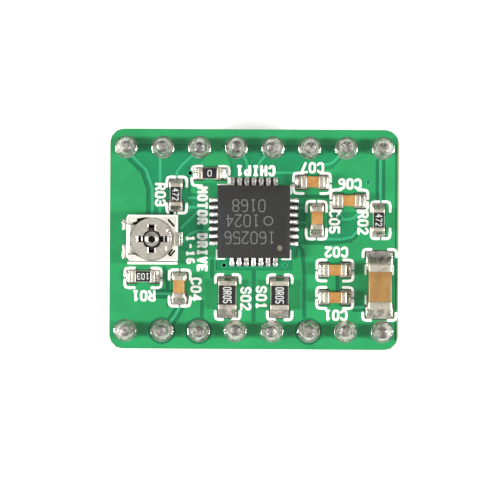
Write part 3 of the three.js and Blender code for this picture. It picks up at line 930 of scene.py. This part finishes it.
def make_chip_solder(node, seed):
    at, turn, length, width, height = chip_frame(node)
    cx, cy, half_length, half_width, along_y = footprint(node)
    offset = (cy - at[1]) if along_y else (cx - at[0])
    pads = []
    openings = []
    end = length / 2
    inner = end - 0.42
    for side in (-1, 1):
        outer = side * offset + half_length - LEGEND_PEN
        y = half_width - 0.32
        pad = block((inner, -y, 0), (outer, y, PAD_THICKNESS), 0.012, 1)
        wet = fillet(width * 1.04, (outer - end) * 0.96, min(height * 0.72, 0.5), seed + side)
        y = width / 2 - 0.03
        under = block((inner + 0.1, -y, 0.0), (end, y, 0.075), 0.01, 1)
        facing = 0 if side > 0 else math.pi
        pads += [moved(s, turn=facing) for s in (pad, moved(wet, (end - 0.01, 0, 0)), under)]
        # A dark frame round each pad where the mask opens: painted shade.
        y = half_width - 0.25
        opening = block((inner - 0.03, -y, -0.02), (outer + 0.05, y, 0.012), 0.01, 1)
        openings.append(moved(opening, turn=facing))
    place = dict(at=(at[0], at[1], BOARD_TOP - 0.005), turn=turn)
    add_piece(f"{node}_solder", pads, "paste", sharp=50, **place)
    add_piece(f"{node}_mask_openings", openings, "pad_shade", **place)


def make_resistor(node):
    at, turn, length, width, height = chip_frame(node)
    place = dict(at=at, turn=turn)
    big = length > 1.8
    cap = 0.36 if big else 0.3
    skin = 0.02
    x, y = length / 2, width / 2
    base = block((-x + skin, -y + skin, skin), (x - skin, y - skin, height - 0.06), 0.02, 1)
    caps = [block((low, -y, 0), (low + cap, y, height), 0.045, 3) for low in (x - cap, -x)]
    reach, side = x - cap + 0.03, y - 0.035
    glaze = block((-reach, -side, height - 0.09), (reach, side, height - 0.012), 0.03, 2)
    add_piece(f"{node}_substrate", base, "alumina", replaces=[node], **place)
    add_piece(f"{node}_end_caps", caps, "cap", **place)
    add_piece(f"{node}_glaze", glaze, "glaze", **place)
    code = VALUE_CODES[node]
    text_height, pen = (0.52, 0.07) if big else (0.4, 0.06)
    pitch = min(0.36, (length - 2 * cap - 0.1) / len(code))
    squeeze = (0.84 * pitch - pen) / (text_height * 4 / 6)
    text = lettering(code, 0, 0, text_height, pen, 180, pitch, squeeze)
    marks = flat_art(text, height - 0.03, height - 0.004)
    add_piece(f"{node}_value", marks, "print", **place)


def make_capacitor(node):
    at, turn, length, width, height = chip_frame(node)
    place = dict(at=at, turn=turn)
    cap, edge, round_off, bowing, finish = 0.4, 0.045, 0.07, 0.03, "tan"
    if length > 2:
        cap, edge, round_off, bowing, finish = 0.62, 0.07, 0.1, 0.05, "brown"
    skin = 0.022
    x, y = length / 2, width / 2
    body = block((-x + 0.05, -y + skin, skin), (x - 0.05, y - skin, height - skin), edge, 3)
    caps = []
    for facing in (math.pi, 0):
        end = block((x - cap, -y, 0), (x, y, height), round_off, 4)
        for vert in end.verts:  # the dipped edge of the metal bows towards the middle
            if vert.co.x < x - cap + 0.12:
                vert.co.x -= bowing * (1 - (vert.co.y / y) ** 2) - 0.02
        caps.append(moved(end, turn=facing))
    add_piece(f"{node}_ceramic", body, finish, replaces=[node], **place)
    add_piece(f"{node}_end_caps", caps, "cap", **place)


def make_chips():
    for seed, node in enumerate(FOOTPRINTS):
        if "capacitor" in node:
            make_capacitor(node)
        else:
            make_resistor(node)
        make_chip_solder(node, seed * 7.3)


# ---- Driver chip ----

LEADS_PER_SIDE = 7
LEAD_PITCH = 0.5
LEAD_WIDTH = 0.25


def make_driver():
    size = DRIVER_HIGH - DRIVER_LOW
    half, height = size.x / 2, size.z
    at = (DRIVER_X, DRIVER_Y, DRIVER_LOW.z)
    body = block((-half, -half, 0.02), (half, half, height), 0.035, 2)
    dot_at = (1.8, -1.81, 0)
    body = carved(body, moved(cylinder(0.22, height - 0.05, height + 1), dot_at))
    add_piece("driver_mould", body, "mould", at=at, replaces=["driver_body"])
    floor = moved(cylinder(0.2, height - 0.06, height - 0.045), dot_at)
    add_piece("driver_pin_one_dot", floor, "dot", at=at)

    marks = lettering("160256", -0.28, -1.11, 0.8, 0.07, 180, 0.6, 0.8)
    marks += lettering("1024", -0.76, 0.06, 0.8, 0.07, 180, 0.6, 0.8)
    marks += stroke(ring_line(1.0, 0.06, 0.3, 20), 0.07)
    marks += lettering("0168", -0.35, 1.1, 0.8, 0.07, 180, 0.6, 0.8)
    add_piece("driver_marking", flat_art(marks, height - 0.02, height + 0.004), "laser", at=at)

    leads = []
    beads = []
    for side in range(4):
        for k in range(LEADS_PER_SIDE):
            y = (k - (LEADS_PER_SIDE - 1) / 2) * LEAD_PITCH
            turn = math.pi / 2 * side
            low, high = y - LEAD_WIDTH / 2, y + LEAD_WIDTH / 2
            lead = block((half - 0.35, low, 0.0), (half + 0.012, high, 0.2), 0.02, 1)
            leads.append(moved(lead, turn=turn))
            seed = side * 11 + k * 1.7
            bead = fillet(LEAD_WIDTH + 0.05, 0.54, 0.24, seed, 0.02, 1.0, 2)
            bead = moved(bead, (half + 0.005, y, -0.05))
            pad = block((half - 0.1, y - 0.14, -0.055), (half + 0.58, y + 0.14, -0.02), 0.015, 1)
            beads += [moved(bead, turn=turn), moved(pad, turn=turn)]
    # A dark frame round the chip under its leads: painted shade.
    inner, outer, side = half - 0.1, half + 0.56, 1.66
    shade_frame = [
        rectangle(-outer, -side, -inner, side),
        rectangle(inner, -side, outer, side),
        rectangle(-side, -outer, side, -inner),
        rectangle(-side, inner, side, outer),
    ]
    add_piece("driver_lead_painted_shade", flat_art(shade_frame, -0.07, -0.04), "pad_shade", at=at)
    add_piece("driver_leads", leads, "terminal", at=at)
    add_piece("driver_lead_solder", beads, "bead", at=at, sharp=50)
    dress("driver_thermal_pad", "copper")
    dress("driver_die", "silicon")


def dress(node, finish):
    """A CAD node keeps its shape and takes a finish."""
    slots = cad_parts[node].data.materials
    slots.clear()
    slots.append(FINISHES[finish].material)


# ---- Header ----

# Radius and height of a solder joint from its foot, spread over the pad, to the tip of the pin.
JOINT_PROFILE = [
    (0.775, 0.015), (0.74, 0.035), (0.7, 0.065), (0.66, 0.12), (0.62, 0.22), (0.585, 0.35),
    (0.55, 0.5), (0.51, 0.66), (0.465, 0.82), (0.42, 0.95), (0.385, 1.05), (0.365, 1.1),
    (0.345, 1.122), (0.25, 1.128), (0.12, 1.13),
]
JOINT_HEIGHT = JOINT_PROFILE[-1][1]
PIN_TIP = 0.17  # half the width of the pin's end, which shows through the solder


def make_joint(name, number):
    x, y = JOINTS[name].xy
    lean = Vector((*polar(0.06, number * 2.4), 0))
    offset = Vector((number * 3.1, number * 1.7, 0))

    def warp(point, angle):
        climb = max(0.0, point.z) / JOINT_HEIGHT
        swell = noise.noise(point / 0.5 + offset) * 0.09 * min(1, climb * 4) * (1 - climb)
        swell += noise.noise(point / 0.17 + offset) * 0.03 * climb
        lift = noise.noise(point / 0.34 + offset * 2) * 0.04 * climb
        beyond = max(abs(point.x), abs(point.y)) - PIN_TIP
        if climb > 0.9:
            lift -= 0.05 * min(1, max(0, beyond / 0.05))
        return point + Vector((*polar(swell, angle), lift)) + lean * climb

    profile = [(0, -0.01), (0.77, -0.01), *JOINT_PROFILE, (0, JOINT_HEIGHT)]
    shape = moved(lathe(profile, 40, warp), (x, y, BOARD_TOP))
    add_piece(f"joint_{name}", shape, "solder", replaces=[f"solder_joint_{name}"], sharp=60)


def make_pin(name):
    low, high = cad_box(f"header_pin_{name}")
    high.z -= 0.08  # the solder closes over the tip
    half, tip, taper = (high.x - low.x) / 2, 0.15, 0.45
    levels = [(low.z, tip), (low.z + taper, half), (high.z - taper, half), (high.z, tip)]
    shape = square_column(*JOINTS[name].xy, levels)
    add_piece(f"pin_{name}", shape, "gold", replaces=[f"header_pin_{name}"])


def make_strip(row):
    """A moulded strip, notched between its pins, with a flared socket around each at its foot."""
    low, high = cad_box(f"header_strip_{row}")
    half = (high.y - low.y) / 2
    notch = 0.42
    centres = [JOINTS[f"{row}{k}"].x for k in range(1, 9)]
    edge = [(max(centres[0] - PITCH / 2, low.x), half - notch)]
    for centre in centres:
        left = max(centre - PITCH / 2, low.x)
        right = min(centre + PITCH / 2, high.x)
        edge += [(left + notch, half), (right - notch, half), (right, half - notch)]
    outline = [(x, -v) for x, v in edge] + edge[::-1]
    shape = prism(outline, low.z, high.z, 0.05, 2)
    flare = [(low.z - 0.2, 0.62), (low.z + 0.14, 0.36)]
    shape = carved(shape, *(square_column(centre, 0, flare) for centre in centres))
    at = (0, (low.y + high.y) / 2, 0)
    add_piece(f"strip_{row}", shape, "strip", at=at, replaces=[f"header_strip_{row}"])


def make_header():
    for number, name in enumerate(JOINTS):
        make_joint(name, number)
        make_pin(name)
    for row in "ab":
        make_strip(row)


# ---- Trimmer ----

ROTOR_RADIUS = 1.44


def radial(outline, angle):
    """How far an outline is from the origin in a direction."""
    direction = Vector(polar(1, angle))
    best = 0.0
    for a, b in zip(outline, outline[1:] + outline[:1]):
        a, b = Vector(a), Vector(b)
        side = b - a
        cross = direction.x * side.y - direction.y * side.x
        if abs(cross) < 1e-9:
            continue
        reach = (a.x * side.y - a.y * side.x) / cross
        along = (a.x * direction.y - a.y * direction.x) / cross
        if reach > 0 and -1e-6 <= along <= 1 + 1e-6:
            best = max(best, reach)
    return best


def walled_ring(outer, inner, section):
    """A frame between two outlines. Its section lists (outline, depth into the wall, height)."""
    corners = [math.atan2(y, x) % (2 * math.pi) for x, y in (*outer, *inner)]
    angles = sorted({round(a, 4) for a in corners + [2 * math.pi * k / 72 for k in range(72)]})
    loops = []
    for wall, inset, height in section:
        loop = []
        for angle in angles:
            rim, edge = radial(outer, angle), radial(inner, angle)
            depth = min(inset, (rim - edge) / 2 - 0.004)  # where the wall is thin, so are its bevels
            reach = rim - depth if wall == "outer" else edge + depth
            loop.append((*polar(reach, angle), height))
        loops.append(loop)
    return loft(loops, closed=True)


def arc(radius, start, step, count):
    """Points around the origin, from a start angle on, in degrees."""
    return [polar(radius, math.radians(start + step * k)) for k in range(count)]


def make_trimmer():
    low, high = cad_box("trimmer_housing")
    base = BOARD_TOP + 0.06
    at = (TRIMMER.x, TRIMMER.y, base)
    left, right = low.x - TRIMMER.x + 0.12, high.x - TRIMMER.x
    back, ledge_front = high.y - TRIMMER.y - 0.07, low.y - TRIMMER.y
    front = ledge_front + 0.25
    bottom, top, floor = low.z - base, high.z - base, 0.56
    outer = [(left - 0.02, front + 0.3), (left + 0.22, front), (right, front), (right, back),
             (left + 0.1, back), (left, back - 0.2)]
    well = [(-1.46, 0.96), (-1.46, -0.9), (-1.2, -1.02), (-0.95, -1.16)]
    well += arc(ROTOR_RADIUS + 0.025, -124, 8, 28)
    well += [(-0.45, 1.49), (-1.0, 1.4), (-1.04, 1.2), (-1.3, 1.14), (-1.34, 0.98)]
    section = [
        ("outer", 0.0, bottom), ("outer", 0.0, top - 0.05), ("outer", 0.015, top - 0.014),
        ("outer", 0.05, top), ("outer", 0.13, top), ("outer", 0.16, top - 0.035),
        ("inner", 0.05, top - 0.035), ("inner", 0.012, top - 0.05), ("inner", 0.0, top - 0.09),
        ("inner", 0.0, floor - 0.1), ("inner", 0.12, bottom),
    ]
    housing = walled_ring(outer, well, section)
    slits = stroke([(1.16, 1.32), (1.52, 0.92)], 0.15)
    slits += stroke([(1.42, -0.72), (1.2, -1.02)], 0.13)
    slits += stroke([(1.58, -0.8), (1.32, -1.12)], 0.13)
    slits += stroke([(1.2, -1.04), (1.28, -1.12)], 0.13)
    # dark prisms deep in the slits: painted shadow
    slit_shadows = [prism(slit, top - 0.28, top - 0.15) for slit in slits]
    add_piece("trimmer_slit_painted_shadows", slit_shadows, "shadow", at=at)
    cuts = [prism(slit, top - 0.3, top + 1) for slit in slits]
    cuts.append(block((-1.78, 1.0, top - 0.3), (-1.2, 1.17, top + 1)))
    cuts.append(block((-1.62, -1.07, top - 0.3), (-1.15, -0.99, top + 1)))
    housing = carved(housing, *cuts)
    ledge = block((left + 0.06, ledge_front, bottom), (right - 0.02, front - 0.05, 0.8), 0.05, 2)
    step = block((left + 0.3, front - 0.1, bottom), (right - 0.1, front + 0.02, 0.5), 0.01, 1)
    bar = block((-1.6, -0.98, top - 0.3), (-1.455, 0.99, top + 0.03), 0.05, 2)
    case = gather(housing, ledge, step, bar)
    for face in case.faces:  # the top faces and the front of the ledge take a paler copy of the resin, painted light
        place = face.calc_center_median()
        face.material_index = 1 if place.z > top - 0.02 or place.y < front - 0.08 else 0
    add_piece("trimmer_case", case, "resin", "lit_resin", at=at, replaces=["trimmer_housing"])
    plates = []
    for sign, corner in ((1, 0.95), (-1, 0.87)):
        outline = [(-1.45, corner), *arc(ROTOR_RADIUS + 0.02, 137, 4.5, 6), (-1.45, 0.42)]
        outline = [(x, sign * y) for x, y in outline]
        plates.append(prism(outline, floor, top + 0.03, 0.01, 1))
    add_piece("trimmer_stop_plates", plates, "rotor", at=at)
    make_rotor(at)
    profile = [
        (0, 0.1), (0.3, 0.1), (0.3, 0.98), (0.5, 0.985), (0.46, 0.99), (0.42, 0.996), (0.3, 1.056),
        (0.28, 1.064), (0.26, 1.064), (0.24, 1.03), (0.23, 0.96), (0.225, 0.9), (0.22, 0.5), (0, 0.5),
    ]
    rivet = lathe(profile, 40)
    add_piece("trimmer_rivet", rivet, "terminal", at=at, replaces=["trimmer_eyelet"], sharp=60)
    # a dark disc deep in the rivet's bore: painted shadow
    bore_shadow = lathe([(0, 0.5), (0.21, 0.5), (0.21, 0.62), (0, 0.6)], 24)
    add_piece("trimmer_rivet_bore_painted_shadow", bore_shadow, "shadow", at=at)
    # The substrate takes the near-black cermet finish too: painted shadow in the gap around the rotor.
    dress("trimmer_substrate", "cermet")
    dress("trimmer_resistive_track", "cermet")
    dress("trimmer_wiper", "eyelet")
    make_trimmer_terminals(at, left, right)


def make_rotor(at):
    """The turning disc: a sheet with a pressed screwdriver cross, a sunken middle and a pointer.
    The cross has arms of one half width and different lengths, with steep walls."""
    bottom, top = 0.78, 1.26
    half, wall = 0.19, 0.02
    west, east, south, north = -0.91, 1.05, -0.88, 0.94
    edge, sunk, deep = top - 0.03, 0.97, 0.8
    # Finish 1 paints shadow on the walls and floors of the cross and the sunken middle, and finish 3 a
    # darker metal, painted shade, on the floor of the cross near the middle.
    layers = [
        ([circle(0, 0, ROTOR_RADIUS, 64)], edge, 0),
        ([circle(0, 0, ROTOR_RADIUS - 0.015, 64)], top, 0),
        ([rectangle(-half - 0.1, south - 0.07, half + 0.1, north + 0.07)], top - 0.055, 2),
        ([
            rectangle(west - wall, -half - wall, east + wall, half + wall),
            rectangle(-half - wall, south - wall, half + wall, north + wall),
        ], deep, 1),
        ([circle(0.03, -0.02, 0.69, 8), circle(0, 0, 0.62, 32)], sunk, 1),
        ([rectangle(west, -half, east, half), rectangle(-half, south, half, north)], deep, 1),
        ([rectangle(-half, -0.76, half, 0.76)], deep + 0.08, 3),
        ([circle(0, 0, 0.56, 32)], CREASE, 0),
        ([circle(0, 0, 0.33, 24)], HOLE, 0),
    ]
    finishes = ("rotor", "shadow", "eyelet", "tarnish")
    settings = dict(at=at, body="rotor", replaces=["trimmer_rotor"], sharp=25)
    add_piece("trimmer_rotor_disc", relief(layers, bottom), *finishes, **settings)
    # Folded edges at the ends of the two side arms, as (middle, half length, half width, foot).
    folds = [
        (-0.99, 0.19, 0.05, top),
        (-0.69, 0.15, 0.04, 1.1),
        (0.88, 0.19, 0.035, 1.1),
        (1.15, 0.17, 0.035, top),
    ]
    roofs = [
        relief([
            ([rectangle(x - wide, -long, x + wide, long)], foot, 0),
            ([rectangle(x - 0.01, -long + 0.03, x + 0.01, long - 0.03)], foot + wide * 0.5, 0),
        ], foot - 0.2)
        for x, long, wide, foot in folds
    ]
    # The folds and the pointer take the paler nickel: painted highlight.
    add_piece("trimmer_rotor_folds", roofs, "bright", at=at, body="rotor")
    bow = [
        (1.08, 0.76), (1.25, 0.55), (1.34, 0.27), (1.36, 0), (1.34, -0.27), (1.25, -0.52), (1.08, -0.68)
    ]
    sides = [([(1.06, 0.78), (1.06, 0.52)], 0.09), ([(1.04, -0.46), (1.04, -0.72)], 0.09)]
    pointer = relief([
        (strokes([(bow, 0.09)]), top, 0),
        (strokes([(bow, 0.02)]), top + 0.01, 0),
        (strokes(sides), top, 0),
        (strokes((line, 0.02) for line, _ in sides), top + 0.025, 0),
    ], top - 0.05)
    add_piece("trimmer_rotor_pointer", pointer, "bright", at=at, body="rotor", sharp=60)


def make_trimmer_terminals(at, left, right):
    # Place, turn, half width and height of each.
    ends = {
        "trimmer_end_terminal_1": (left, 1.0, math.pi, 0.38, 0.86),
        "trimmer_end_terminal_2": (left, -0.86, math.pi, 0.5, 0.86),
        "trimmer_wiper_terminal": (right - 0.06, 0.0, 0.0, 0.48, 1.2),
    }
    for number, (node, (x, y, turn, half, rise)) in enumerate(ends.items()):
        upright = block((0.02, -half, 0.0), (0.22, half, rise), 0.05, 2)
        foot = block((-0.5, -half, -0.01), (0.1, half, 0.1), 0.03, 1)
        solder = moved(fillet(2 * half, 0.14, 0.6, number * 5.1, 0.06), (0.21, 0, -0.055))
        parts = [upright, foot, solder]
        if rise > 1:  # this one folds over the top of the housing
            parts.append(block((-0.17, -half, rise - 0.06), (0.1, half, rise), 0.02, 2))
        tab = moved(gather(*parts), (x, y, 0), turn)
        add_piece(f"{node}_tab", tab, "terminal", at=at, replaces=[node], sharp=45)


# ---- Room, lights and camera ----


def add_lamp(name, side, size, power):
    """A square lamp that faces the middle of the board."""
    light = bpy.data.lights.new(name, "AREA")
    light.shape = "SQUARE"
    light.size = size * MM
    light.energy = power
    light.color = (1.0, 0.99, 0.97)
    eye, target = Vector((side, -17, 106)) * MM, Vector((0, 0, BOARD_TOP)) * MM
    turn = (target - eye).to_track_quat("-Z", "Y").to_matrix().to_4x4()
    add_object(name, light).matrix_world = Matrix.Translation(eye) @ turn


def make_room():
    finish = Finish("paper_floor", (0.93, 0.93, 0.93), 0.9, Emission_Strength=0.4)
    grain = finish.noise(0.8, detail=4)
    tone = finish.colours(grain, [(0.3, (0.90, 0.90, 0.90)), (0.7, (0.95, 0.95, 0.95))])
    finish.set("Base Color", tone).bump(grain, 0.01)
    bpy.ops.mesh.primitive_plane_add(size=2.0, location=(0, 0, -0.0001))
    floor = bpy.context.object
    floor.name = "floor"
    floor.data.materials.append(finish.material)

    scene = bpy.context.scene
    scene.view_settings.view_transform = "Standard"
    world = bpy.data.worlds.new("studio")
    world.use_nodes = True
    tree = world.node_tree
    # Brightest overhead and towards the near side of the board, dim at the far side.
    inputs = {0: add_node(tree, "ShaderNodeTexCoord").outputs["Generated"], 1: (0.0, -0.5, 1.0)}
    facing = add_node(tree, "ShaderNodeVectorMath", inputs, operation="DOT_PRODUCT")
    ramp = add_node(tree, "ShaderNodeValToRGB", {0: facing.outputs["Value"]})
    stops = [(0.0, (0.20, 0.20, 0.20)), (0.5, (0.34, 0.34, 0.34)), (1.0, (0.60, 0.62, 0.62))]
    set_stops(ramp.color_ramp, stops)
    tree.links.new(ramp.outputs[0], tree.nodes["Background"].inputs["Color"])
    scene.world = world
    add_lamp("left_lamp", -150, 38, 0.36)
    add_lamp("right_lamp", 150, 28, 0.31)


def make_camera():
    """A long lens, high above the board."""
    distance = 170.0
    camera = bpy.data.cameras.new("camera")
    camera.sensor_width = 36.0
    camera.lens = 176.868
    camera.clip_start = 0.01
    camera.clip_end = 10.0
    made = add_object("camera", camera)
    eye = Vector((-0.28, -0.74, BOARD_TOP + distance))
    roll = Matrix.Rotation(math.radians(0.35), 4, "Z")
    made.matrix_world = Matrix.Translation(eye * MM) @ roll
    bpy.context.scene.camera = made


make_camera()
make_board()
make_legend()
make_chips()
make_driver()
make_header()
make_trimmer()
make_room()
